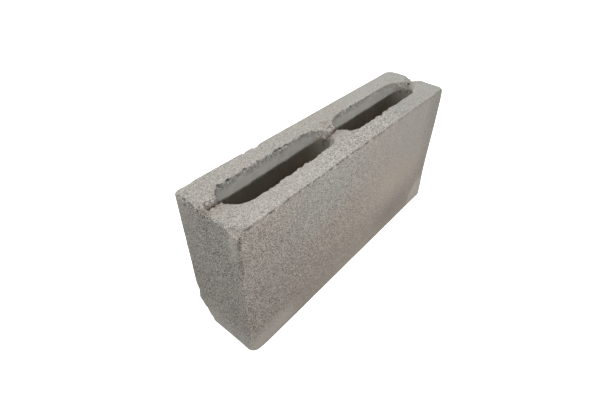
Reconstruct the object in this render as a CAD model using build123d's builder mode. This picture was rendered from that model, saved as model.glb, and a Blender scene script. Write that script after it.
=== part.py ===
from build123d import *

import os

# Hollow concrete partition block, 390 x 90 x 190 mm, cast in one piece.
# Frame: origin at the centre of the bed the block stands on, +X along the
# length, +Y through the thickness towards the back, +Z up.  Millimetres.

# ---- driving dimensions (mm) -------------------------------------------------
LENGTH = 390.0            # along X
WIDTH = 90.0              # along Y
HEIGHT = 190.0            # along Z

# upright corners, eased by the mould and by handling
CORNER_FRONT_LEFT = 3.0
CORNER_FRONT_RIGHT = 5.0
CORNER_BACK_LEFT = 5.0
CORNER_BACK_RIGHT = 12.0

# worn arrises round the two beds
ARRIS_TOP = 1.5
ARRIS_BOTTOM = 2.0

# the two long cores, open top and bottom, narrowing downwards with the draft
CORE_LENGTH = 160.0       # at the top bed
CORE_WIDTH = 41.0         # at the top bed
CORE_END_RADIUS = 19.0
CORE_PITCH = 183.0        # centre to centre, leaves a 23 mm middle web
CORE_SHIFT = -3.0         # the pair sits this far along X from the middle
CORE_DRAFT_DEG = 0.6      # per side

# trough that the core bar leaves along the tops of the three webs: a long slope
# at the front, a short one at the back (places along Y)
TROUGH_FRONT = -13.0      # front edge at the top bed
TROUGH_FLOOR_FRONT = 3.0
TROUGH_FLOOR_BACK = 6.0
TROUGH_BACK = 11.0        # back edge at the top bed
TROUGH_DEPTH = 6.5

# broken lower corner at the left end, back side: how far the break runs
# along each of the three edges that met there
BREAK_ALONG_LENGTH = 30.0
BREAK_ALONG_WIDTH = 30.0
BREAK_UP = 34.0

half_l, half_w = LENGTH / 2, WIDTH / 2

with BuildPart() as block:
    # moulded outline with its four upright corners rounded
    with BuildSketch() as outline:
        Rectangle(LENGTH, WIDTH)
        left, right = outline.vertices().group_by(Axis.X)
        fillet(left.sort_by(Axis.Y)[0], CORNER_FRONT_LEFT)
        fillet(left.sort_by(Axis.Y)[-1], CORNER_BACK_LEFT)
        fillet(right.sort_by(Axis.Y)[0], CORNER_FRONT_RIGHT)
        fillet(right.sort_by(Axis.Y)[-1], CORNER_BACK_RIGHT)
    extrude(amount=HEIGHT)

    # worn edges round the top and bottom beds
    fillet(block.faces().sort_by(Axis.Z)[-1].edges(), ARRIS_TOP)
    fillet(block.faces().sort_by(Axis.Z)[0].edges(), ARRIS_BOTTOM)

    # two long cores with rounded ends, tapering from the top bed to the bottom
    with BuildSketch(Plane.XY.offset(HEIGHT)) as cores:
        with Locations((CORE_SHIFT, 0)):
            with GridLocations(CORE_PITCH, 0, 2, 1):
                RectangleRounded(CORE_LENGTH, CORE_WIDTH, CORE_END_RADIUS)
    extrude(amount=-(HEIGHT + 1.0), taper=CORE_DRAFT_DEG, mode=Mode.SUBTRACT)

    # trough along the tops of the end webs and the middle web
    with BuildSketch(Plane.YZ) as trough:
        with BuildLine():
            Polyline(
                (TROUGH_FRONT, HEIGHT),
                (TROUGH_FLOOR_FRONT, HEIGHT - TROUGH_DEPTH),
                (TROUGH_FLOOR_BACK, HEIGHT - TROUGH_DEPTH),
                (TROUGH_BACK, HEIGHT),
                (TROUGH_BACK, HEIGHT + 2.0),
                (TROUGH_FRONT, HEIGHT + 2.0),
                close=True,
            )
        make_face()
    extrude(amount=half_l + 5.0, both=True, mode=Mode.SUBTRACT)

    # the broken corner, cut off by the plane through three edge points
    on_end = Vector(-half_l, half_w - BREAK_ALONG_WIDTH, 0)
    on_back = Vector(-half_l + BREAK_ALONG_LENGTH, half_w, 0)
    on_upright = Vector(-half_l, half_w, BREAK_UP)
    outward = (on_back - on_end).cross(on_upright - on_end)
    if outward.dot(Vector(-1, 1, -1)) < 0:
        outward = -outward
    split(bisect_by=Plane(origin=on_end, z_dir=outward), keep=Keep.BOTTOM)

block.part.label = "block"

os.makedirs("parts", exist_ok=True)
export_step(block.part, "parts/block.step")

box = block.part.bounding_box()
print("size", box.size, "min", box.min, "max", box.max)
print("volume_litres", round(block.part.volume / 1e6, 4))
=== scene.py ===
"""Looks of the hollow concrete block: worn cast surface, material, light and camera."""

import bpy
import numpy as np
import openvdb
from mathutils import Matrix, Vector


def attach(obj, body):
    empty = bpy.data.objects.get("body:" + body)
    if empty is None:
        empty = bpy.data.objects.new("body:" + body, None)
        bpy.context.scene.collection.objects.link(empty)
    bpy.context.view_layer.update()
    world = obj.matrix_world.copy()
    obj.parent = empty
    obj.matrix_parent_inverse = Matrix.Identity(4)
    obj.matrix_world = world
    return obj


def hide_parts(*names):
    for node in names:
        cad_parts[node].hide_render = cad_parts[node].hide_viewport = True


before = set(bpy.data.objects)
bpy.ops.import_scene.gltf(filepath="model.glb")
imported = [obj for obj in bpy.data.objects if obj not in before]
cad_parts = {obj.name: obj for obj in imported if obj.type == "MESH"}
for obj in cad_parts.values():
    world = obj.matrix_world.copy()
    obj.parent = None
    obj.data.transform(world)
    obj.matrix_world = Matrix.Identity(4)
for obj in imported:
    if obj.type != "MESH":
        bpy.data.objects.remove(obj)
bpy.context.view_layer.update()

# ---------------------------------------------------------------------------
# The cast body, in millimetres, as a distance field on a regular grid
# (negative inside the concrete), so that wear and breakage cut real shape.
# ---------------------------------------------------------------------------
LENGTH, WIDTH, HEIGHT = 390.0, 90.0, 190.0
STEP = 1.0                      # grid spacing
MOST_TRIANGLES = 194_000

CORE_HALF = (80.0, 20.5)        # half length and half width at the top bed
CORE_RADIUS = 19.0
DRAFT = float(np.tan(np.radians(0.6)))
# middle of each core, how far its worn ends stand in from the moulded ones, and
# its corners at the rim (front left, front right, back left, back right): radius
# along X, radius along Y, and fullness, where 2 is an ellipse and less is flatter
CORES = (
    (-94.5, (2.4, 0.0), ((22.0, 20.0, 2.0), (22.0, 15.5, 2.0), (15.5, 17.5, 2.0), (15.0, 17.0, 2.0))),
    (88.5, (0.6, 0.3), ((12.0, 12.0, 2.0), (20.5, 18.0, 1.5), (21.0, 15.5, 1.45), (20.5, 19.5, 2.0))),
)
TROUGH = 4.4                    # where the clefts of the web tops run, along Y

gx = np.arange(-LENGTH / 2 - 4.0, LENGTH / 2 + 4.01, STEP, dtype=np.float32)
gy = np.arange(-WIDTH / 2 - 4.0, WIDTH / 2 + 4.01, STEP, dtype=np.float32)
gz = np.arange(-4.0, HEIGHT + 4.01, STEP, dtype=np.float32)
X, Y, Z = gx[:, None, None], gy[None, :, None], gz[None, None, :]


def spline_rows(at, period):
    """Weights that carry values from a lattice of this period to the points at."""
    t = (at - at[0]) / period + 1.0
    cell = np.floor(t).astype(int)
    f = t - cell
    rows = np.zeros((len(at), cell[-1] + 4), np.float32)
    parts = (
        (1 - f) ** 3 / 6,
        (3 * f**3 - 6 * f**2 + 4) / 6,
        (-3 * f**3 + 3 * f**2 + 3 * f + 1) / 6,
        f**3 / 6,
    )
    for k, part in enumerate(parts):
        rows[np.arange(len(at)), cell - 1 + k] += part
    return rows


def grain(period, seed, stretch=(1.0, 1.0, 1.0)):
    """A smooth random field over the whole grid, with mean 0 and spread 1."""
    rows = [spline_rows(g, period * s) for g, s in zip((gx, gy, gz), stretch)]
    field = np.random.default_rng(seed).standard_normal([r.shape[1] for r in rows])
    field = field.astype(np.float32)
    field = np.tensordot(rows[0], field, axes=(1, 0))
    field = np.matmul(rows[1], field)
    field = np.matmul(field, rows[2].T)
    return (field - field.mean()) / field.std()


def lumps(period, seed, stretch=(1.0, 1.0, 1.0)):
    """0 on rounded lumps, rising to 1 in the creases between them."""
    return 1.0 - np.minimum(np.abs(grain(period, seed, stretch)), 1.0)


def rounded_rectangle(x, y, half_x, half_y, r):
    qx, qy = np.abs(x) - half_x + r, np.abs(y) - half_y + r
    outside = np.hypot(np.maximum(qx, 0), np.maximum(qy, 0))
    return np.minimum(np.maximum(qx, qy), 0) + outside - r


def both(a, b, k):
    """The overlap of two solids, with the edge between them eased over k."""
    h = np.clip(0.5 + 0.5 * (a - b) / k, 0, 1)
    return b * (1 - h) + a * h + k * h * (1 - h)


def ramp(value, low, high):
    t = np.clip((value - low) / (high - low), 0, 1)
    return t * t * (3 - 2 * t)


def bell(value, width):
    return np.exp(-((value / width) ** 2))


def outline(x, y, z):
    """Distance to the moulded outline, each upright corner with its own radius."""
    # the front corners are rounder where they were knocked
    front_left = 3.0 + 7.0 * bell(z, 13)
    front_right = 3.2 + 2.5 * bell(HEIGHT - z, 10)
    r = np.where(y < 0, np.where(x < 0, front_left, front_right), np.where(x < 0, 5.0, 12.0))
    return rounded_rectangle(x, y, LENGTH / 2, WIDTH / 2, r.astype(np.float32)).astype(np.float32)


def core_distance(x, y, depth):
    """Distance from the core walls into the concrete, depth below the top bed."""
    ease = np.exp(-np.maximum(depth, 0) / 30.0).astype(np.float32)
    one, two = CORES
    left = x < (one[0] + two[0]) / 2
    u = x - np.where(left, one[0], two[0])
    low, front = u < 0, y < 0

    def corner(k):
        """One of the three corner values, at the rim."""
        fl, fr, bl, br = [np.where(left, a[k], b[k]) for a, b in zip(one[2], two[2])]
        return np.where(front, np.where(low, fl, fr), np.where(low, bl, br)).astype(np.float32)

    ax = CORE_RADIUS + ease * (corner(0) - CORE_RADIUS)
    ay = CORE_RADIUS + ease * (corner(1) - CORE_RADIUS)
    full = 2.0 + ease * (corner(2) - 2.0)
    ends = np.where(low, np.where(left, one[1][0], two[1][0]), np.where(left, one[1][1], two[1][1]))
    half = CORE_HALF[0] - ease * ends.astype(np.float32)
    ex, ey = np.abs(u) - half, np.abs(y) - CORE_HALF[1]
    qx, qy = np.maximum(ex / ax + 1, 0), np.maximum(ey / ay + 1, 0)
    h = np.maximum((qx**full + qy**full) ** (1 / full), 1e-6)
    slope = np.hypot((qx / h) ** (full - 1) / ax, (qy / h) ** (full - 1) / ay)
    d = np.where((qx > 0) & (qy > 0), (h - 1) / np.maximum(slope, 1e-6), np.maximum(ex, ey))
    return (d + np.maximum(depth, -2) * DRAFT).astype(np.float32)


def trough_depth(u, right):
    """How deep the web tops lie below the bed, u across from the cleft.

    The left and middle webs rise steeply behind the cleft; right blends to the
    open notch of the right web.
    """
    steep = np.interp(
        u,
        [-50, -20, -14, -10, -5, -2.4, -1.1, 0.6, 1.6, 2.6, 5, 9, 14, 50],
        [0, 0, 1.0, 2.2, 3.6, 4.7, 6.2, 6.4, 4.2, 2.6, 1.5, 0.6, 0, 0],
    )
    notch = np.interp(
        u,
        [-50, -22, -16, -12, -7.7, -3.8, -0.9, 0.8, 3.5, 7.2, 12, 50],
        [0, 0, 0.4, 1.1, 2.6, 4.9, 7.0, 7.0, 4.6, 1.7, 0, 0],
    )
    return (steep * (1 - right) + notch * right).astype(np.float32)


def chip(body, place, size, seed):
    """Takes a small rough bite out of the body."""
    reach = [max(size) + 3.0] * 3
    at = [
        slice(max(int((p - r - g[0]) / STEP), 0), int((p + r - g[0]) / STEP) + 2)
        for p, r, g in zip(place, reach, (gx, gy, gz))
    ]
    x, y, z = gx[at[0]][:, None, None], gy[at[1]][None, :, None], gz[at[2]][None, None, :]
    rng = np.random.default_rng(seed)
    away = np.sqrt(
        ((x - place[0]) / size[0]) ** 2 + ((y - place[1]) / size[1]) ** 2 + ((z - place[2]) / size[2]) ** 2
    )
    wobble = sum(
        np.sin(x * a + y * b + z * c + d)
        for a, b, c, d in rng.normal(0, 0.9, (3, 4))
    )
    bite = (1.0 - away + 0.16 * wobble) * min(size)
    at = tuple(at)
    body[at] = both(body[at], bite.astype(np.float32), 0.7)


# bites out of the edges: place and half sizes
CHIPS = (
    # top edge of the left end
    ((-194.6, 37.0, 188.8), (1.4, 2.0, 1.4)),
    ((-194.4, 29.5, 187.8), (1.7, 2.4, 2.0)),
    ((-194.8, 28.5, 182.4), (1.5, 2.0, 1.7)),
    ((-194.5, 21.5, 187.6), (1.7, 2.5, 1.8)),
    ((-194.7, 15.8, 186.2), (1.6, 2.0, 1.9)),
    ((-194.8, 9.5, 185.6), (1.5, 1.7, 1.8)),
    ((-194.0, -33.5, 188.6), (1.7, 2.0, 1.6)),
    # front top edge
    ((-192.4, -36.2, 188.8), (1.9, 1.7, 1.5)),
    ((-173.0, -44.8, 189.0), (1.8, 1.2, 1.3)),
    ((-159.0, -44.8, 188.8), (2.6, 1.6, 1.7)),
    ((-147.0, -44.8, 188.5), (2.0, 1.4, 1.5)),
    ((-112.0, -44.7, 188.8), (2.0, 1.3, 1.4)),
    ((-60.0, -44.8, 188.7), (2.4, 1.4, 1.6)),
    ((-31.0, -44.6, 188.6), (2.6, 1.9, 1.8)),
    ((-22.0, -44.8, 188.4), (2.0, 1.5, 1.7)),
    ((7.0, -44.8, 188.7), (2.4, 1.4, 1.5)),
    # back top edge
    ((-180.0, 44.8, 190.2), (8.0, 2.2, 1.7)),
    ((-104.0, 44.9, 190.0), (4.0, 2.4, 2.3)),
    ((-88.0, 44.8, 190.1), (5.2, 2.8, 2.9)),
    # the middle cleft where it opens into the left core
    ((-12.5, -0.5, 186.0), (3.8, 2.8, 4.2)),
    # back rims of the cores
    ((-167.4, 15.8, 187.8), (1.4, 1.4, 1.8)),
    ((-159.6, 21.2, 187.6), (2.0, 1.9, 2.6)),
    ((-147.0, 21.8, 186.9), (1.8, 1.3, 1.4)),
    ((-124.0, 21.8, 188.2), (2.2, 1.3, 1.4)),
    ((-105.0, 21.8, 188.2), (1.9, 1.3, 1.4)),
    ((-78.0, 21.6, 187.4), (3.4, 1.6, 1.7)),
    ((-70.5, 21.5, 187.2), (2.6, 1.7, 1.8)),
    ((-63.0, 21.6, 187.6), (2.6, 1.5, 1.6)),
    ((46.0, 21.8, 188.0), (2.2, 1.3, 1.4)),
    ((62.0, 21.6, 187.4), (1.8, 1.2, 1.4)),
)


# where the front rims of the cores stand in or out: along X, how far in, reach
RIM = (
    (-166.0, -1.0, 4.0),
    (-157.0, 0.8, 5.0),
    (-130.0, -1.3, 4.0),
    (-108.0, 0.9, 6.0),
    (-79.0, -1.3, 5.0),
    (-68.0, 1.4, 5.0),
    (-57.0, 1.3, 6.0),
    (17.0, 1.3, 5.0),
    (40.0, 0.6, 4.0),
    (55.0, -1.0, 5.0),
    (73.0, -1.0, 4.0),
)

# how the clefts of the web tops wander across, along X; the middle one is askew
WIGGLE = (0.8 * grain(9.0, 33))[:, 0, 0] + bell(gx, 22) * (0.11 * gx - 3.6)


def cast_body():
    plan = outline(X, Y, Z)
    depth = HEIGHT - Z

    # worn arrises: the left end's top and bottom edges most of all, and the lower
    # front left and upper front right corners
    worn = np.where(Z > HEIGHT / 2, 0.8 - 0.3 * ramp(-Y, 20, 40), 1.7) + 0.2 * grain(24.0, 11)
    worn = worn + 6.0 * bell(X + 195, 14) * bell(Y + 45, 16) * bell(Z, 13)
    worn = worn - 1.4 * bell(X - 195, 30) * bell(Z, 14)
    worn = worn + 7.5 * bell(X + 195, 14) * bell(Z, 14) * ramp(Y, -45, -22)
    worn = worn + 3.6 * bell(X + 195, 9) * bell(depth, 10)
    worn = worn + 2.5 * bell(X - 195, 10) * bell(depth, 10) * bell(Y + 45, 12)
    worn = worn - 0.4 * ramp(Y, 20, 40) * ramp(depth, 40, 12)
    worn = worn + 4.8 * bell(X - 195, 9) * bell(depth, 9) * ramp(-Y, 4, 22)
    worn = np.maximum(worn, 0.3).astype(np.float32)
    a = plan + worn
    b = np.abs(Z - HEIGHT / 2) - HEIGHT / 2 + worn
    body = np.minimum(np.maximum(a, b), 0) + np.hypot(np.maximum(a, 0), np.maximum(b, 0)) - worn
    body = body + 1.5 * bell(X - 195, 7) * bell(Y + 45, 9) * bell(Z - 60, 50)
    body = body + 1.5 * bell(X + 195, 8) * bell(Y - 45, 10) * bell(Z - 46, 9)

    # the cores, with ragged rims at the top bed and smooth drawn walls below
    core = core_distance(X, Y, depth)
    fade = np.exp(-np.maximum(depth, 0) / 3.0)
    back = ramp(Y, -12, 12)
    stand = 0.8 + 1.6 * bell(X + 33, 24) + 0.6 * bell(X - 85, 35)
    stand = stand + sum(far * bell(X - at, reach) for at, far, reach in RIM)
    ragged = (0.9 + 1.3 * bell(X + 48, 30)) * back - (1 - back) * stand
    ragged = ragged + 0.3 * grain(9.0, 21) + (0.5 - 0.25 * back) * grain(2.2, 22)
    ragged = ragged + 1.0 * np.maximum(np.abs(grain(4.0, 24)) - 1.1, 0)
    ragged = ragged - (1 - back) * 1.3 * np.maximum(np.abs(grain(3.2, 25)) - 0.9, 0)
    core = core - fade * np.maximum(ragged, -3.2)
    core = core + 0.10 * grain(5.0, 23, (1, 1, 14)) * (1 - fade)
    # the right web slopes down into its core below the notch
    slope = bell(X - 168, 13) * ramp(Y, -17, -7) * ramp(Y, 8, 2)
    core = core - slope * np.clip(trough_depth(Y - TROUGH, 1.0) + 4.5 - depth, 0, 8)
    # and the crumbled back of the middle web slopes into the left core
    slope = bell(X + 15, 11) * ramp(Y, -1, 4) * ramp(Y, 17, 11)
    core = core - slope * np.clip(8.5 - depth, 0, 6)
    body = both(body, -core, 0.5)

    # web tops, sunk to a cleft and crumbled, mostly behind it
    across = Y - TROUGH - WIGGLE[:, None, None]
    bed = HEIGHT - trough_depth(across, ramp(X, 60, 120))
    stones, crumbs = lumps(3.8, 31), lumps(2.3, 32)
    loose = (0.45 * bell(across + 4, 6) + bell(across - 2.5, 5)) * ramp(depth, 24, 8)
    loose = loose * (1 - 0.6 * bell(X + 8, 17))
    body = both(body, (Z - bed) * 0.8 + (2.4 * stones + 1.4 * crumbs - 1.5) * loose, 0.7)

    # the middle web is crumbled behind its cleft, as far as a curved crack
    heap = bell(X + 1, 15) * ramp(Y, 2, 7) * ramp(Y, 26, 21) * ramp(depth, 9, 2)
    body = body + heap * (1.3 * stones + 1.2 * crumbs - 0.6)
    turn = np.degrees(np.arctan2(Y - 9.0, X - 1.0))
    crack = bell(np.hypot(X - 1.0, Y - 9.0) - 14.8, 0.9) * ramp(turn, 25, 40) * ramp(turn, 95, 80)
    body = body + 1.7 * crack * ramp(depth, 4.5, 1.0)

    # below the clefts the right end walls of the cores are creased, and crumbled
    # behind the crease
    coarse, fine = lumps(4.6, 51), lumps(2.8, 52)
    for wall in (-14.5, 168.5):
        near = bell(X - wall, 7) * ramp(core, 6, 1)
        crease = bell(Y + 5.2 - 0.2 * (depth - 3), 1.2) * ramp(depth, 24, 13) * ramp(depth, 0.5, 2.5)
        rough = ramp(Y, -3, 3) * ramp(Y, 19, 13) * ramp(depth, 22, 10)
        if wall > 0:
            rough = rough + ramp(Y, 3, -3) * ramp(depth, 12, 5)
        body = body + near * (0.9 * crease + rough * (0.6 * stones + 0.7 * crumbs - 0.5))
        loose = np.maximum(loose, near * np.maximum(rough, crease))
    loose = np.maximum(loose, heap)

    # broken lower corner at the back of the left end
    cut = np.array([-34.0 * 30.0, 34.0 * 30.0, -30.0 * 30.0])
    cut /= np.linalg.norm(cut)
    gap = X * cut[0] + Y * cut[1] + Z * cut[2] - float(np.dot(cut, (-195.0, 15.0, 0.0)))
    gap = gap + 1.8 + 1.0 * grain(16.0, 41) + 1.4 * grain(7.5, 43) + 0.9 * lumps(5.0, 42) - 1.3 * bell(Z - 24, 7)
    body = both(body, gap, 1.0)

    # the upper front left corner is knocked off
    cut = np.array([-147.0, -98.0, 106.75])
    cut /= np.linalg.norm(cut)
    gap = X * cut[0] + Y * cut[1] + Z * cut[2] - float(np.dot(cut, (-192.0, -33.0, 190.0)))
    gap = gap + 0.5 * grain(7.0, 44) + 0.5 * lumps(4.0, 45)
    body = both(body, gap, 1.2)

    # crumbled rims of the cores and outer arrises
    rim = bell(np.hypot(core, depth), 2.4) * (0.9 + 0.5 * grain(8.0, 54))
    body = body + rim * (0.55 * coarse + 0.75 * fine)
    lip = bell(core, 2.0) * ramp(depth + 2.0 * grain(10.0, 53), 8, 3) * back
    body = body + lip * (0.6 * coarse + 0.5 * fine)
    arris = bell(np.hypot(np.maximum(plan, -8), depth), 2.4)
    body = body + arris * (0.12 + 0.5 * bell(X + 195, 7)) * (0.8 * fine + 0.4 * coarse)

    # a pitted crease below the cleft on the left end, and pits along the upright
    # front left edge and the front top edge
    crease = bell(Y - 0.1 - 0.8 * grain(14.0, 55)[:1, :1, :], 1.2) * ramp(Z, 138, 182) * bell(X + 195, 5)
    body = body + crease * np.maximum(0.6 + 1.0 * grain(5.0, 56), 0)
    pits = grain(4.0, 57)
    edge = bell(np.hypot(X + 194.4, Y + 44.4), 1.7) * ramp(Z, 95, 145)
    body = body + edge * np.clip(0.2 + 0.5 * pits, 0, 1.0)
    edge = bell(np.hypot(Y + 44.6, depth - 0.8), 1.6) * ramp(X, 175, 60)
    body = body + edge * np.clip(0.05 + 0.5 * pits, 0, 0.9)

    for k, (place, size) in enumerate(CHIPS):
        chip(body, place, size, 900 + k)

    # sandy relief of the outer faces; the core walls stay smoother
    smooth_wall = ramp(core, 6.0, 1.0) * ramp(depth, 4, 12)
    relief = 0.08 + 0.015 * grain(7.0, 62) + 0.06 * grain(36.0, 63)
    pores = np.clip(grain(3.4, 64) - 1.75, 0, 0.7) * 0.4
    body = body + (np.maximum(relief, 0.02) + pores) * (1 - 0.8 * smooth_wall)
    # the creases between loose stones and crumbs, made darker and browner
    creases = np.clip(loose, 0, 1) * np.clip(0.8 * stones + 0.5 * crumbs, 0, 1)
    return body.astype(np.float32), creases.astype(np.float32)


def box_mean(field, reach):
    """Mean over a cube of 2 * reach + 1 cells."""
    for axis in range(3):
        padded = np.pad(field, [(reach + 1, reach) if k == axis else (0, 0) for k in range(3)], mode="edge")
        total = np.cumsum(padded, axis=axis, dtype=np.float64)
        width = 2 * reach + 1
        upper = np.take(total, range(width, total.shape[axis]), axis=axis)
        lower = np.take(total, range(0, total.shape[axis] - width), axis=axis)
        field = ((upper - lower) / width).astype(np.float32)
    return field


def sample(field, points):
    """Values of a grid field at points in millimetres."""
    at = (points - np.array([gx[0], gy[0], gz[0]])) / STEP
    low = np.clip(np.floor(at).astype(int), 0, np.array(field.shape) - 2)
    f = np.clip(at - low, 0, 1)
    value = 0.0
    for dx in (0, 1):
        for dy in (0, 1):
            for dz in (0, 1):
                weight = (
                    (f[:, 0] if dx else 1 - f[:, 0])
                    * (f[:, 1] if dy else 1 - f[:, 1])
                    * (f[:, 2] if dz else 1 - f[:, 2])
                )
                value = value + weight * field[low[:, 0] + dx, low[:, 1] + dy, low[:, 2] + dz]
    return value


def new_mesh(name, points, faces):
    mesh = bpy.data.meshes.new(name)
    mesh.vertices.add(len(points))
    mesh.vertices.foreach_set("co", points.astype(np.float32).ravel())
    size = faces.shape[1]
    mesh.loops.add(faces.size)
    mesh.loops.foreach_set("vertex_index", faces.astype(np.int32).ravel())
    mesh.polygons.add(len(faces))
    mesh.polygons.foreach_set("loop_start", np.arange(0, faces.size, size, dtype=np.int32))
    mesh.polygons.foreach_set("loop_total", np.full(len(faces), size, np.int32))
    mesh.update(calc_edges=True)
    return mesh


def largest_part(points, faces):
    """Leaves out crumbs that hang free of the body."""
    label = np.arange(len(points))
    while True:
        low = label[faces].min(1)
        new = label.copy()
        for k in range(faces.shape[1]):
            np.minimum.at(new, faces[:, k], low)
        new = np.minimum(new, new[new])
        if (new == label).all():
            break
        label = new
    main = np.bincount(label).argmax()
    keep = label == main
    index = np.cumsum(keep) - 1
    return points[keep], index[faces[keep[faces[:, 0]]]]


def read_triangles(mesh):
    mesh.calc_loop_triangles()
    points = np.empty(len(mesh.vertices) * 3, np.float32)
    mesh.vertices.foreach_get("co", points)
    faces = np.empty(len(mesh.loop_triangles) * 3, np.int32)
    mesh.loop_triangles.foreach_get("vertices", faces)
    return points.reshape(-1, 3), faces.reshape(-1, 3)


body, creases = cast_body()
grid = openvdb.FloatGrid(4.0)
grid.copyFromArray(np.clip(body, -4, 4))
points, _, quads = grid.convertToPolygons(0.0, 0.0)
points = points * STEP + np.array([gx[0], gy[0], gz[0]], np.float32)
limit = np.array([LENGTH / 2, WIDTH / 2, HEIGHT]) - 0.02
points = np.clip(points, [-limit[0], -limit[1], 0.0], limit)

raw = new_mesh("raw", points / 1000.0, quads)
holder = bpy.data.objects.new("raw", raw)
bpy.context.scene.collection.objects.link(holder)
thin = holder.modifiers.new("thin", "DECIMATE")
thin.ratio = MOST_TRIANGLES / (2.0 * len(quads))
thin.use_collapse_triangulate = True
bpy.context.view_layer.update()
thinned = bpy.data.meshes.new_from_object(holder.evaluated_get(bpy.context.evaluated_depsgraph_get()))
points, faces = largest_part(*read_triangles(thinned))
bpy.data.objects.remove(holder)
bpy.data.meshes.remove(raw)
bpy.data.meshes.remove(thinned)

mesh = new_mesh("concrete_block", points, faces)
block = bpy.data.objects.new("concrete_block", mesh)
bpy.context.scene.collection.objects.link(block)
mesh.polygons.foreach_set("use_smooth", np.ones(len(mesh.polygons), bool))

# ---------------------------------------------------------------------------
# Masks for the material, one value per vertex
# ---------------------------------------------------------------------------
P = points * 1000.0
N = np.empty(len(points) * 3, np.float32)
mesh.vertices.foreach_get("normal", N)
N = N.reshape(-1, 3)
px, py, pz = P.T
p_depth = HEIGHT - pz
p_core = core_distance(px, py, p_depth)

hollow = -sample(box_mean(np.clip(body, -4, 4), 2), P)      # above 0 in pits and creases
inside = ramp(p_core, 7.0, 2.5) * ramp(p_depth, 0.8, 3.5) * ramp(pz, 0.5, 4.0) * ramp(N[:, 2], 0.75, 0.45)
web = ramp(np.abs(np.abs(px) - 98.0), 68.0, 76.0)
face = {
    "front": ramp(-N[:, 1], 0.45, 0.85) * (1 - inside),
    "end": ramp(np.abs(N[:, 0]), 0.45, 0.85) * (1 - inside),
    "bed": ramp(N[:, 2], 0.25, 0.75) * ramp(p_depth, 16, 9),
}


def patch(a, b, at, reach):
    """A soft patch, centred at a point of a face and fading over its reach."""
    return bell(np.hypot((a - at[0]) / reach[0], (b - at[1]) / reach[1]), 1.0)


# light and dark patches, and warmer and greyer ones, on the front and the ends
light = face["front"] * (
    0.06 * patch(px, pz, (85, 85), (80, 30))
    - 0.03
    - 0.085 * ramp(px, -20, -110) * ramp(pz, 165, 90)
    - 0.04 * ramp(pz, 80, 40) * ramp(px, -100, -40)
    - 0.065 * ramp(px, 70, 140)
    + 0.05 * ramp(px, 183, 192)
    + 0.06 * ramp(pz, 160, 180) * ramp(px, 60, 0)
    + 0.05 * ramp(px, 90, 20) * ramp(pz, 95, 140)
    - 0.09 * patch(px, pz, (100, 25), (62, 24))
    - 0.07 * patch(px, pz, (-60, 35), (62, 32))
    + 0.10 * patch(px, pz, (166, 25), (13, 13))
    - 0.13 * ramp(px, 140, 178) * ramp(pz, 40, 70)
    - 0.07 * ramp(px, -95, -140) * ramp(pz, 175, 140)
    - 0.07 * patch(px, pz, (75, 38), (60, 30))
    - 0.05 * patch(px, pz, (-184, 158), (14, 16))
    - 0.03 * patch(px, pz, (50, 155), (35, 25))
    - 0.03 * patch(px, pz, (-160, 160), (25, 25))
    - 0.07 * patch(px, pz, (75, 25), (40, 20))
    - 0.07 * ramp(px, 140, 178) * ramp(pz, 110, 150)
    + 0.02
    - 0.03 * ramp(pz, 7, 2) * ramp(px, 0, -60)
    - 0.06 * patch(px, pz, (-168, 35), (22, 30))
    + 0.04 * patch(px, pz, (-60, 178), (60, 12))
    + 0.06 * patch(px, pz, (-155, 18), (26, 13))
    + 0.10 * ramp(px, -60, 130) * ramp(pz, 30, 110)
)
light = light + face["end"] * (
    0.36 * patch(py, pz, (-35, 173), (5, 18))
    + 0.08 * patch(py, pz, (33, 178), (9, 10))
    + 0.05 * patch(py, pz, (-10, 14), (24, 10))
    - 0.04
    - 0.10 * ramp(pz, 130, 50)
    - 0.05 * ramp(py, 0, -30) * ramp(pz, 160, 130)
    + 0.10 * patch(py, pz, (40, 176), (6, 14))
    - 0.22 * ramp(py, -40, -43.5) * ramp(pz, 132, 150)
    + 0.05 * ramp(pz, 70, 35)
    + 0.04 * ramp(py, -25, -38) + 0.015
)
# pale smooth bands along the bottom edges near the front left corner, and painted light on a
# pale facet at the lower front right corner
foot = np.maximum(
    ramp(pz, 46.0, 22.0) * ramp(px, -184, -191),
    ramp(pz, 42.0, 22.0) * ramp(py, -36, -42) * ramp(px, -105, -140),
)
painted_light_facet = ramp(py, -38, -43) * ramp(px - 150 - 0.9 * np.maximum(pz - 22, 0), -2, 3) * ramp(pz, 44, 38)
light = light + 0.17 * foot + 0.24 * painted_light_facet
# painted shade down the lower half of the front left upright edge
light = light - 0.09 * bell(px + 195, 9) * bell(py + 45, 9) * ramp(pz, 100, 75) * ramp(pz, 14, 24)
light = light - 0.08 * face["front"] * patch(px, pz, (-172, 172), (24, 12))
# the broken face of the knocked upper corner
off = P @ np.array([-0.712, -0.475, 0.517]) - float(np.dot((-0.712, -0.475, 0.517), (-192.0, -33.0, 190.0)))
knocked = ramp(off, -2.4, -1.0)
light = light - knocked * (0.16 + 0.02 * ramp(px, -193, -189))
hue = face["front"] * (
    -0.5 * patch(px, pz, (-70, 160), (52, 36))
    + 0.2 * patch(px, pz, (-160, 165), (32, 32))
    + 0.15 * patch(px, pz, (85, 85), (80, 30))
    + 0.25 * patch(px, pz, (100, 25), (62, 24))
    + 0.15 * patch(px, pz, (-60, 35), (62, 32))
    - 0.3 * patch(px, pz, (140, 150), (60, 45))
    + 0.25 * ramp(px, -140, -90) * ramp(px, 150, 100) * ramp(pz, 150, 110)
)
hue = hue + face["end"] * (0.08 + 0.25 * ramp(py, -33, -40)) - 0.25 * face["bed"] * ramp(px, 40, 100)
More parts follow.
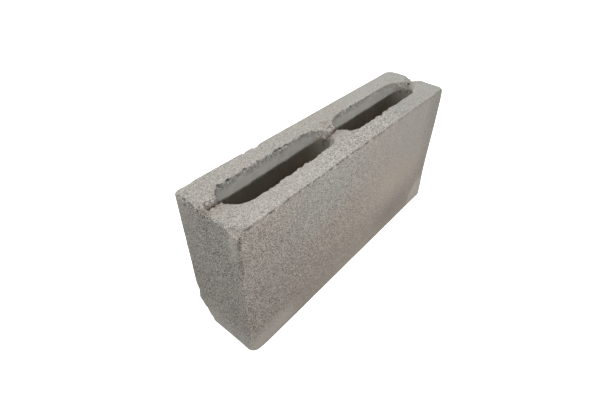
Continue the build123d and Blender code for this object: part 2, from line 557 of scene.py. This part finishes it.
# the end walls of the cores are darker and browner than their long walls, and painted light makes the
# front parts of the left core's end walls and web slopes lighter
stop = inside * ramp(np.abs(N[:, 0]), 0.4, 0.8)
light = light - 0.10 * stop + 0.75 * stop * ramp(py, -0.5, -6) * ramp(px, 60, 20)
light = light + face["bed"] * (-0.055 - 0.06 * bell(px - 95, 35) * ramp(-py, 15, 25) + 0.07 * patch(px, py, (-165, -36), (25, 10)) + 0.09 * patch(px, py, (-2, 15), (12, 7)) + 0.03 * patch(px, py, (-100, -36), (40, 10)) + 0.03 * ramp(py, 20, 26) + 0.05 * ramp(-py, 15, 25) * patch(px, py, (-110, -33), (55, 30)) - 0.02 * ramp(px, 100, 150) * ramp(-py, 15, 25))
light = light + 0.07 * face["bed"] * ramp(-py, 15, 25) * ramp(px, -150, -80) * ramp(px, 110, 50)
# brown crumbs on the knocked corner and along the left end's top edge
for spot, reach, less in (((-191, -43, 185), 6, 0.16), ((-193, -36, 188.5), 3.5, 0.25), ((-194, -5, 186), 4, 0.15), ((-194, -22, 187), 4, 0.12)):
    light = light - less * bell(np.linalg.norm(P - np.array(spot), axis=1), reach)
# back walls of the cores: lighter in the right core and darker at its right end, with painted shade on the right part
# of the left core's back wall
light = light + (inside - stop) * ramp(py, 0, 10) * (0.08 * ramp(px, 25, 50) - 0.12 * ramp(px, 100, 145) - 0.07 * ramp(px, -100, -60) * ramp(px, -10, -25))
# brown dust on the back of the right web's notch
light = light - 0.22 * patch(px, py, (171, 4), (12, 6)) * ramp(p_depth, 0.5, 2.5) * ramp(p_depth, 14, 10)
hue = hue + 0.3 * patch(px, py, (171, 4), (12, 6)) * ramp(p_depth, 0.5, 2.5) * ramp(p_depth, 14, 10)
hue = hue + 0.6 * stop - 0.3 * foot - 0.4 * painted_light_facet
hue = hue + 0.15 * knocked
crumbled = ramp(px, -30, -22) * ramp(px, 0, -8) * ramp(py, -1, 3) * ramp(py, 17, 12) * ramp(p_depth, 0.8, 3.0) * ramp(p_depth, 13, 8)
light = light - 0.12 * crumbled
hue = hue + 0.15 * crumbled
hue = hue + 0.45 * web * face["bed"] * bell(py + 5, 8)
# how open and sandy the skin is: it closes towards the right and low down
skin = (0.40 + 0.60 * ramp(px, 105, -35)) * (0.62 + 0.38 * ramp(pz, 12, 70))
skin = skin * (1 - 0.5 * bell(pz, 12)) * (1 - 0.5 * painted_light_facet)
skin = skin + face["bed"] * (0.68 * (0.55 + 0.45 * ramp(px, 120, -60)) - skin)
skin = skin + face["bed"] * 0.8 * patch(px, py, (20, -32), (75, 13))
skin = skin + face["end"] * ((1 - 0.6 * patch(py, pz, (31, 165), (12, 32)) - 0.5 * patch(py, pz, (-35, 172), (5, 22))) * (1 - 0.6 * bell(pz, 10)) - skin)
skin = skin + ramp(-N[:, 2], 0.5, 0.85) * (0.75 - skin)
skin = skin * (1 + 0.2 * face["end"]) * (1 - 0.6 * foot * ramp(pz, 28, 14)) * (1 - 0.5 * face["end"] * ramp(px, 0, 100))
skin = skin * (1 - 0.8 * inside * ramp(p_depth, 3.0, 7.0))
pit = np.zeros(len(P))
for (cx, cy, cz), (sx, sy, sz) in CHIPS:
    if abs(cy) < 25 or cx < -190:
        away = np.sqrt(((px - cx) / sx) ** 2 + ((py - cy) / sy) ** 2 + ((pz - cz) / sz) ** 2)
        pit = np.maximum(pit, ramp(away, 1.35, 0.95))
masks = {
    "hollow": np.clip(hollow / 0.9, 0, 1),
    "ridge": np.clip(-hollow / 1.2, 0, 1),
    "inside": inside,
    "light": light,
    "hue": hue,
    "skin": skin,
    "pit": pit,
    # distance across from the cleft, and the sunk tops of the webs
    "across": py - TROUGH - np.interp(px, gx, WIGGLE),
    "sunk": web * (1 - 0.75 * ramp(px, -181, -190)) * (1 - 0.9 * ramp(px, 100, 140)) * (1 - 0.55 * bell(px - 4, 14)) * ramp(p_depth, 0.6, 2.2) * ramp(p_depth, 15, 9) * ramp(N[:, 2], -0.1, 0.2),
    # darker brown between loose stones and crumbs; the back walls of the cores
    "crumb": np.clip(sample(creases, P), 0, 1),
    "rim": ramp(p_core, 7.0, 2.5) * ramp(p_depth, 0.5, 1.6) * ramp(pz, 0.5, 4.0) * ramp(py, -10, 10),
    # drawn smooth walls below the ragged rim
    "drawn": inside * ramp(p_depth, 3.0, 7.0),
    # upward faces of the top bed
    "bed": face["bed"],
    # dark brown in the clefts of the web tops, and down the creases below them
    "cleft_brown": np.maximum(
        web * (1 - 0.6 * ramp(px, 100, 140)) * (1 - 0.6 * ramp(px, -180, -190)) * (1 - face["end"]) * bell(py - TROUGH - 0.3, 3.2) * ramp(p_depth, 1.2, 3.8) * ramp(p_depth, 26, 12),
        inside * web * (0.55 + 0.45 * ramp(px, 60, 120)) * ramp(N[:, 0], 0.1, -0.5) * bell(py - 3, 9) * ramp(p_depth, 24, 10),
    ),
    # deep in the cores, where little light reaches: painted shade
    "deep": inside * ramp(p_depth, 14, 40) * ramp(pz, 0, 60),
    # the ends are greyer than the long faces
    "end": face["end"],
    # freshly broken concrete at the lost corner
    "broken": ramp((-px * 1020 + py * 1020 - pz * 900) / 1699.4 - 126.0, -5.0, -1.0),
}
for name, values in masks.items():
    layer = mesh.attributes.new(name, "FLOAT", "POINT")
    layer.data.foreach_set("value", np.ascontiguousarray(values, np.float32))

# ---------------------------------------------------------------------------
# One flat map for the whole skin: six faces and the two unrolled core walls
# ---------------------------------------------------------------------------
corners = P[faces]
middles = corners.mean(1)
normals = np.cross(corners[:, 1] - corners[:, 0], corners[:, 2] - corners[:, 0])
normals /= np.maximum(np.linalg.norm(normals, axis=1, keepdims=True), 1e-9)
mx, my, mz = middles.T
ahead = 0.5
toward_core = np.stack(
    [
        core_distance(mx - ahead, my, HEIGHT - mz) - core_distance(mx + ahead, my, HEIGHT - mz),
        core_distance(mx, my - ahead, HEIGHT - mz) - core_distance(mx, my + ahead, HEIGHT - mz),
    ],
    1,
)
cost = np.stack(
    [
        my + 45 + 6 * normals[:, 1],
        45 - my - 6 * normals[:, 1],
        mx + 195 + 6 * normals[:, 0],
        195 - mx - 6 * normals[:, 0],
        HEIGHT - mz - 6 * normals[:, 2],
        mz + 6 * normals[:, 2],
        core_distance(mx, my, HEIGHT - mz) - 6 * (normals[:, :2] * toward_core).sum(1),
    ],
    1,
)
chart = cost.argmin(1)
chart[(chart == 6) & (mx > 0)] = 7


def around_core(x, y, middle):
    """How far round the core wall a point is, from the middle of its front."""
    run, rise = CORE_HALF[0] - CORE_RADIUS, CORE_HALF[1] - CORE_RADIUS
    quarter = CORE_RADIUS * np.pi / 2
    u = x - middle
    cx, cy = np.clip(u, -run, run), np.clip(y, -rise, rise)
    angle = np.arctan2(y - cy, u - cx)                      # outward direction
    sector = np.floor((angle + np.pi) / (np.pi / 2)).clip(0, 3)
    part = (angle + np.pi) / (np.pi / 2) - sector
    whole = 4 * run + 4 * rise + 4 * quarter
    # front left, front right, back right, back left corners in order of angle
    begin = np.choose(
        sector.astype(int),
        [
            3 * run + 3 * quarter + 4 * rise,
            run,
            run + quarter + 2 * rise,
            3 * run + 2 * quarter + 2 * rise,
        ],
    )
    s = begin + part * quarter
    on_front, on_back = (np.abs(u) < run) & (y < 0), (np.abs(u) < run) & (y >= 0)
    on_right, on_left = (np.abs(y) < rise) & (u > 0), (np.abs(y) < rise) & (u <= 0)
    s = np.where(on_right, run + quarter + rise + y, s)
    s = np.where(on_left, 3 * run + 2 * quarter + 3 * rise - y, s)
    s = np.where(on_back, run + 2 * quarter + 2 * rise + run - u, s)
    s = np.where(on_front, np.where(u >= 0, u, whole + u), s)
    return s, whole


x, y, z = corners[..., 0], corners[..., 1], corners[..., 2]
SHEET = 604.0
flat = np.zeros((len(faces), 3, 2))
layout = (
    (x + 195 + 2, z + 2),
    (195 - x + 2, z + 202),
    (45 - y + 402, z + 2),
    (y + 45 + 502, z + 2),
    ((x + 195) * 1.5 + 4, (y + 45) * 1.5 + 400),
    ((195 - x) * 0.65 + 4, (y + 45) * 0.65 + 542),
)
for k, (u, v) in enumerate(layout):
    here = chart == k
    flat[here, :, 0], flat[here, :, 1] = u[here], v[here]
for k, (middle, foot) in enumerate(((CORES[0][0], 202.0), (CORES[1][0], 300.0))):
    here = chart == 6 + k
    s, whole = around_core(x[here], y[here], middle)
    centre, _ = around_core(mx[here], my[here], middle)
    s = s - np.round((s - centre[:, None]) / whole) * whole
    flat[here, :, 0], flat[here, :, 1] = s * 0.5 + 406, z[here] * 0.5 + foot
layer = mesh.uv_layers.new(name="OFBake")
layer.data.foreach_set("uv", (flat / SHEET).astype(np.float32).ravel())

# ---------------------------------------------------------------------------
# Concrete: sand grains, pores, blotches and stains over a grey to tan body
# ---------------------------------------------------------------------------
concrete = bpy.data.materials.new("concrete")
concrete.use_nodes = True
tree = concrete.node_tree
shader = tree.nodes["Principled BSDF"]


def node(kind, inputs=(), **settings):
    new = tree.nodes.new(kind)
    for key, value in settings.items():
        setattr(new, key, value)
    for key, value in dict(inputs).items():
        join(value, new.inputs[key])
    return new


def join(value, socket):
    if isinstance(value, bpy.types.NodeSocket):
        tree.links.new(value, socket)
    else:
        socket.default_value = value


def math(operation, a, b=0.0, clamp=False):
    new = node("ShaderNodeMath", operation=operation, use_clamp=clamp)
    join(a, new.inputs[0])
    join(b, new.inputs[1])
    return new.outputs[0]


def rescale(value, low, high, to_low, to_high):
    new = node("ShaderNodeMapRange", {0: value, 1: low, 2: high, 3: to_low, 4: to_high})
    new.clamp = True
    return new.outputs[0]


def mask(name):
    return node("ShaderNodeAttribute", attribute_name=name).outputs["Fac"]


place = node("ShaderNodeTexCoord").outputs["Object"]


def stretched(scale):
    return node("ShaderNodeMapping", {"Vector": place, "Scale": scale}).outputs[0]


def noise(scale, detail=2.0, rough=0.55, where=None):
    new = node(
        "ShaderNodeTexNoise",
        {"Vector": where or place, "Scale": scale, "Detail": detail, "Roughness": rough},
    )
    return new.outputs["Fac"]


def cells(scale, loose=1.0, where=None):
    return node("ShaderNodeTexVoronoi", {"Vector": where or place, "Scale": scale, "Randomness": loose})


def blend(amount, a, b, mode="MIX"):
    new = node("ShaderNodeMix", data_type="RGBA", blend_type=mode)
    join(amount, new.inputs[0])
    join(a, new.inputs[6])
    join(b, new.inputs[7])
    return new.outputs[2]


# patterns
sand = cells(1400.0)
sand_value = node("ShaderNodeSeparateColor", {0: sand.outputs["Color"]}).outputs
# gaps between grains, less what is common to the places around them
around = []
for step in ((1, 1, 1), (1, -1, -1), (-1, 1, -1), (-1, -1, 1)):
    moved = node("ShaderNodeVectorMath", {0: place, 1: [0.0010 * c for c in step]}, operation="ADD").outputs[0]
    around.append(cells(430.0, 0.85, moved).outputs["Distance"])
around = math("ADD", math("ADD", around[0], around[1]), math("ADD", around[2], around[3]))
grain_gap = math("SUBTRACT", cells(430.0, 0.85).outputs["Distance"], math("MULTIPLY", around, 0.25))
grit = cells(420.0)
grit_value = node("ShaderNodeSeparateColor", {0: grit.outputs["Color"]}).outputs
fine = noise(1500.0, 1.0, 0.5)
blotch = noise(45.0, 2.0, 0.5)
stain = noise(11.0, 3.0, 0.5)
tint = noise(24.0, 2.0, 0.5)
streak = noise(1.0, 2.0, 0.5, stretched((190.0, 190.0, 7.0)))

hollow_shade_m, ridge_m, drawn_m = mask("hollow"), mask("ridge"), mask("drawn")
bed_m, cleft_brown_m, end_m = mask("bed"), mask("cleft_brown"), mask("end")
broken_m, inside_m, deep_shade_m = mask("broken"), mask("inside"), mask("deep")
skin_m, pit_shade_m = mask("skin"), mask("pit")


def centred(value, spread):
    return math("MULTIPLY", math("SUBTRACT", value, 0.5), spread)


# how warm: brown-taupe on the long faces and low down, greyer elsewhere
along, through, height_m = node("ShaderNodeSeparateXYZ", {0: place}).outputs
low_band = rescale(height_m, 0.015, 0.12, 1.0, 0.0)
warm = math("ADD", math("ADD", 0.62, centred(tint, 0.32)), math("MULTIPLY", low_band, 0.30))
warm = math("ADD", warm, mask("hue"))
for m, less in ((bed_m, 0.38), (end_m, 0.42), (inside_m, 0.85)):
    warm = math("SUBTRACT", warm, math("MULTIPLY", m, less))
warm = math("MAXIMUM", math("MINIMUM", warm, 1.0), 0.0)
colour = blend(warm, (0.392, 0.380, 0.352, 1), (0.402, 0.352, 0.300, 1))

# light and dark: dark and bright sand grains and the gaps between them; then
# blotches and stains
dark_grain = math("POWER", math("SUBTRACT", 1.0, sand_value[0]), 2.0)
bright_grain = math("POWER", sand_value[0], 5.0)
gaps = rescale(sand.outputs["Distance"], 0.45, 0.85, 0.0, 1.0)
value = math("SUBTRACT", math("MULTIPLY", bright_grain, 0.55), math("MULTIPLY", dark_grain, 0.92))
value = math("ADD", math("ADD", value, 0.19), centred(fine, 0.1))
value = math("SUBTRACT", value, math("MULTIPLY", gaps, 0.06))
value = math("MULTIPLY", value, skin_m)
value = math("ADD", value, centred(blotch, 0.06))
value = math("ADD", value, centred(stain, 0.14))
value = math("ADD", value, centred(streak, 0.07))
value = math("SUBTRACT", value, math("MULTIPLY", low_band, 0.05))
value = math("ADD", value, math("MULTIPLY", ridge_m, 0.06))
value = math("ADD", value, math("MULTIPLY", broken_m, 0.14))
value = math("ADD", value, math("MULTIPLY", mask("rim"), centred(noise(75.0, 3.0), 0.36)))
value = math("ADD", value, mask("light"))
value = math("MAXIMUM", math("ADD", value, 1.0), 0.2)

# pores: a few of the coarse cells are open at their middle; painted shade darkens them
pore = math("MULTIPLY", rescale(grit.outputs["Distance"], 0.16, 0.42, 1.0, 0.0), rescale(grit_value[1], 0.93, 0.99, 0.0, 1.0))
pore = math("MULTIPLY", pore, skin_m)
value = math("MULTIPLY", value, math("SUBTRACT", 1.0, math("MULTIPLY", pore, 0.3)))
# painted shade in pits and creases
value = math("MULTIPLY", value, math("SUBTRACT", 1.0, math("MULTIPLY", hollow_shade_m, 0.4)))
# painted shade inside the chips
value = math("MULTIPLY", value, math("SUBTRACT", 1.0, math("MULTIPLY", pit_shade_m, 0.28)))
# thin dark pitted lines, with painted shade in their pits: under the front top edge, down the upper
# part of the front left edge, and down the left end below the cleft
dashes = rescale(noise(240.0, 1.0), 0.40, 0.58, 0.35, 1.0)
on_front = rescale(through, -0.0442, -0.0430, 1.4, 0.0)
line = math("MULTIPLY", rescale(height_m, 0.1864, 0.1880, 0.0, 1.0), rescale(height_m, 0.1892, 0.1898, 1.0, 0.0))
line = math("MULTIPLY", math("MULTIPLY", line, on_front), rescale(along, 0.02, 0.14, 0.85, 0.42))
off_x, off_y = math("ADD", along, 0.1941), math("ADD", through, 0.0441)
off = math("SQRT", math("ADD", math("MULTIPLY", off_x, off_x), math("MULTIPLY", off_y, off_y)))
edge = math("MULTIPLY", rescale(off, 0.0010, 0.0026, 1.0, 0.0), rescale(height_m, 0.100, 0.165, 0.1, 1.0))
off = math("ABSOLUTE", math("ADD", math("SUBTRACT", through, 0.0004), centred(noise(60.0, 1.0), 0.004)))
fold = math("MULTIPLY", rescale(off, 0.0006, 0.0022, 1.0, 0.0), rescale(height_m, 0.138, 0.165, 0.0, 1.0))
fold = math("MULTIPLY", fold, rescale(along, -0.1930, -0.1900, 1.0, 0.0))
fold = math("MULTIPLY", fold, rescale(noise(170.0, 1.0), 0.42, 0.55, 0.0, 0.9))
lines = math("MAXIMUM", math("MULTIPLY", math("MAXIMUM", line, edge), dashes), fold)
value = math("MULTIPLY", value, math("SUBTRACT", 1.0, math("MULTIPLY", lines, 0.50)))
# painted shade: a rough, darker band under the back rims of the cores
below = math("ADD", math("SUBTRACT", 0.1895, height_m), centred(noise(95.0, 2.0), 0.011))
rim_shade_m = math("MULTIPLY", rescale(below, 0.0042, 0.0105, 1.0, 0.0), rescale(height_m, 0.1880, 0.1893, 1.0, 0.0))
rim_shade_m = math("MULTIPLY", math("MULTIPLY", mask("rim"), rim_shade_m), rescale(noise(330.0, 2.0), 0.38, 0.60, 0.25, 1.0))
rim_shade_m = math("MULTIPLY", rim_shade_m, rescale(along, 0.09, 0.14, 1.0, 0.3))
value = math("MULTIPLY", value, math("SUBTRACT", 1.0, math("MULTIPLY", rim_shade_m, 0.5)))
colour = blend(1.0, colour, node("ShaderNodeCombineColor", {0: value, 1: value, 2: value}).outputs[0], "MULTIPLY")

# dark brown in the clefts, and painted shade: darker, browner walls deep in the cores
cleft_brown_amount = math("MULTIPLY", cleft_brown_m, rescale(noise(210.0, 3.0), 0.38, 0.60, 0.15, 1.0))
colour = blend(math("MULTIPLY", cleft_brown_amount, 0.9), colour, (0.085, 0.062, 0.043, 1))
cleft = math("ADD", math("ABSOLUTE", mask("across")), centred(noise(300.0, 2.0), 3.0))
cleft = math("MULTIPLY", rescale(cleft, 0.7, 2.0, 1.0, 0.0), mask("sunk"))
colour = blend(math("MULTIPLY", cleft, 0.8), colour, (0.062, 0.046, 0.033, 1))
colour = blend(math("MULTIPLY", mask("crumb"), 0.28), colour, (0.165, 0.138, 0.105, 1))
colour = blend(math("MULTIPLY", deep_shade_m, 0.9), colour, blend(1.0, colour, (0.94, 0.83, 0.67, 1), "MULTIPLY"))
join(colour, shader.inputs["Base Color"])

shine = math("ADD", 0.86, centred(sand_value[2], 0.16))
join(math("SUBTRACT", shine, math("MULTIPLY", drawn_m, 0.12)), shader.inputs["Roughness"])
shader.inputs["Specular IOR Level"].default_value = 0.25

height = math("MULTIPLY", grain_gap, -0.35)
height = math("ADD", height, math("MULTIPLY", sand_value[1], 0.15))
height = math("SUBTRACT", height, math("MULTIPLY", pore, 0.6))
height = math("MULTIPLY", height, skin_m)
height = math("ADD", height, math("MULTIPLY", streak, math("MULTIPLY", drawn_m, 0.25)))
bump = node("ShaderNodeBump", {"Strength": 0.6, "Distance": 0.0006, "Height": height})
join(bump.outputs[0], shader.inputs["Normal"])

mesh.materials.append(concrete)

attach(block, "root")
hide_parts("block")

# ---------------------------------------------------------------------------
# Stage, light and camera
# ---------------------------------------------------------------------------
floor_mesh = bpy.data.meshes.new("floor")
floor_mesh.from_pydata([(-6, -6, 0), (6, -6, 0), (6, 6, 0), (-6, 6, 0)], [], [(0, 1, 2, 3)])
floor = bpy.data.objects.new("floor", floor_mesh)
bpy.context.scene.collection.objects.link(floor)
paper = bpy.data.materials.new("paper")
paper.use_nodes = True
paper_shader = paper.node_tree.nodes["Principled BSDF"]
paper_shader.inputs["Base Color"].default_value = (0.92, 0.92, 0.92, 1)
paper_shader.inputs["Roughness"].default_value = 1.0
paper_shader.inputs["Specular IOR Level"].default_value = 0.0
paper_shader.inputs["Emission Color"].default_value = (1, 1, 1, 1)
paper_shader.inputs["Emission Strength"].default_value = 1.0
floor_mesh.materials.append(paper)
floor.visible_diffuse = False   # its bounce on the block comes from the dim lower half of the studio

world = bpy.data.worlds.new("studio")
bpy.context.scene.world = world
world.use_nodes = True
sky = world.node_tree
facing = sky.nodes.new("ShaderNodeTexCoord")
split = sky.nodes.new("ShaderNodeSeparateXYZ")
level = sky.nodes.new("ShaderNodeMapRange")
level.inputs[1].default_value, level.inputs[2].default_value = -0.1, 0.1
level.inputs[3].default_value, level.inputs[4].default_value = 0.26, 0.09
sky.links.new(facing.outputs["Generated"], split.inputs[0])
sky.links.new(split.outputs[2], level.inputs[0])
sky.links.new(level.outputs[0], sky.nodes["Background"].inputs["Strength"])
sky.nodes["Background"].inputs["Color"].default_value = (1, 1, 1, 1)


def area_light(name, way, distance, size, power, colour=(1, 1, 1)):
    lamp = bpy.data.lights.new(name, "AREA")
    lamp.shape = "DISK"
    lamp.size = size
    lamp.energy = power
    lamp.color = colour
    obj = bpy.data.objects.new(name, lamp)
    bpy.context.scene.collection.objects.link(obj)
    way = Vector(way).normalized()
    obj.location = Vector((0, 0, 0.1)) + way * distance
    obj.rotation_euler = (-way).to_track_quat("-Z", "Y").to_euler()
    return obj


area_light("key", (-0.05, -0.893, 0.447), 4.0, 0.32, 90.0)
area_light("overhead", (0.0, 0.0, 1.0), 3.0, 1.2, 62.0)
area_light("fill", (-0.97, 0.10, 0.17), 3.0, 1.5, 31.0)
area_light("rear", (0.45, 0.88, 0.06), 3.0, 1.5, 60.0)

lens = bpy.data.cameras.new("camera")
lens.sensor_fit = "HORIZONTAL"
lens.sensor_width = 36.0
lens.lens = 409.60 / 612.0 * 36.0
lens.clip_start, lens.clip_end = 0.01, 100.0
camera = bpy.data.objects.new("camera", lens)
bpy.context.scene.collection.objects.link(camera)
right = Vector((0.641223, -0.767265, 0.011781))
down = Vector((-0.486523, -0.418373, -0.766977))
onward = Vector((0.593409, 0.486071, -0.641564))
pose = Matrix((right, -down, -onward)).transposed().to_4x4()
pose.translation = (-0.347869, -0.243048, 0.428772)
camera.matrix_world = pose
bpy.context.scene.camera = camera

bpy.context.scene.view_settings.view_transform = "Standard"
bpy.context.scene.view_settings.look = "None"
